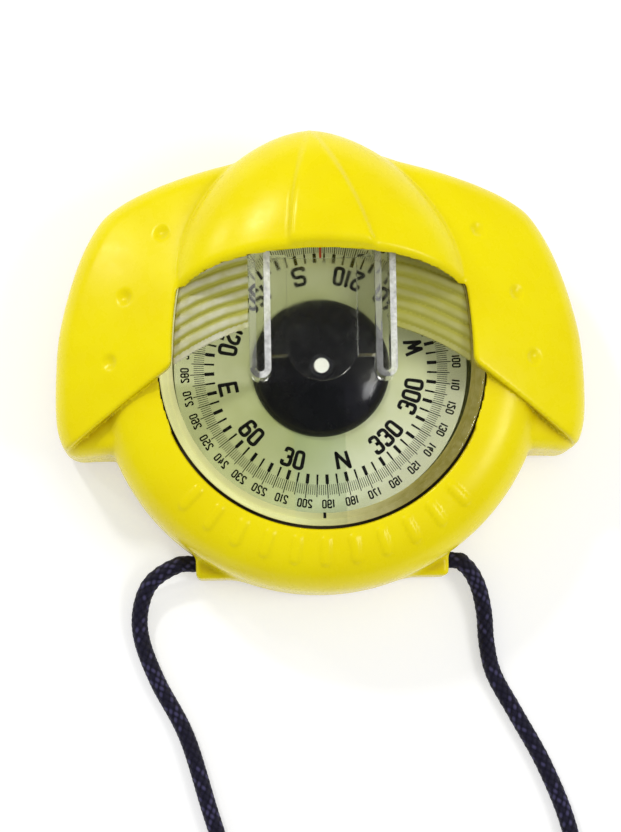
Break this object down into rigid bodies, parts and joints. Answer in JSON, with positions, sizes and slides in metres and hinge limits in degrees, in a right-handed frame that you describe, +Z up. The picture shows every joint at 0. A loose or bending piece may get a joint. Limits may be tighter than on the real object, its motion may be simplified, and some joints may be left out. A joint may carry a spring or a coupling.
{
  "type": "handheld bearing compass",
  "caption": "Handheld bearing compass: soft hooded casing with grip wings, liquid-filled capsule with pivoted card, sighting prism and cord lanyard.",
  "frame": {"origin": "on the pivot axis at the flat underside, the card level above it", "axes": "+Z up along the pivot axis, +Y towards the hood and eyepiece, away from the lanyard, +X to the right with the hood away from you"},
  "size_m": [0.0934, 0.1665, 0.037],
  "materials": {
    "yellow_elastomer": "soft satin moulded elastomer, bright yellow",
    "clear_acrylic": "polished clear acrylic",
    "olive_plastic": "moulded olive plastic",
    "black_rubber": "matt black rubber",
    "stainless_steel": "stainless steel",
    "black_plastic": "fine-textured black plastic",
    "brass": "turned brass",
    "red_paint": "red filled line",
    "ruby": "polished synthetic ruby",
    "white_plastic": "white plastic",
    "gloss_black_float": "gloss blue-black plastic",
    "luminous_card": "pale green photoluminescent card, printed dial",
    "magnet_steel": "ground magnet steel",
    "navy_cord": "braided navy cord with purplish flecks"
  },
  "bodies": {
    "case": {"rubber_casing": "yellow_elastomer", "capsule_cover": "clear_acrylic", "capsule_bowl": "olive_plastic", "capsule_seal": "black_rubber", "capsule_screws": "stainless_steel", "expansion_diaphragm": "black_rubber", "base_plate": "black_plastic", "base_plate_screws": "stainless_steel", "filler_plug": "brass", "filler_washer": "black_rubber", "pivot_stem": "brass", "pivot_needle": "stainless_steel", "rear_lubber_line": "red_paint", "front_lubber_mark": "black_plastic", "sight_frame": "clear_acrylic", "sight_prism": "clear_acrylic"},
    "jewel": {"jewel_cup": "ruby"},
    "hub": {"card_hub": "white_plastic", "card_float": "gloss_black_float", "card_retainer": "black_plastic"},
    "card": {"card_disc": "luminous_card", "magnet_carrier": "black_plastic", "card_magnets": "magnet_steel"},
    "lanyard": {"lanyard": "navy_cord"}
  },
  "joints": [
    {"name": "card_pitch", "type": "hinge", "parent": "case", "child": "jewel", "pos_m": [0, 0, 0.016], "axis": [1, 0, 0], "range_deg": [-10, 10]},
    {"name": "card_roll", "type": "hinge", "parent": "jewel", "child": "hub", "pos_m": [0, 0, 0.016], "axis": [0, 1, 0], "range_deg": [-10, 10]},
    {"name": "card_spin", "type": "hinge", "parent": "hub", "child": "card", "pos_m": [0, 0, 0.016], "axis": [0, 0, 1], "continuous": true},
    {"name": "lanyard_swing", "type": "hinge", "parent": "case", "child": "lanyard", "pos_m": [0, -0.0336, 0.0046], "axis": [1, 0, 0], "range_deg": [-90, 110]}
  ]
}
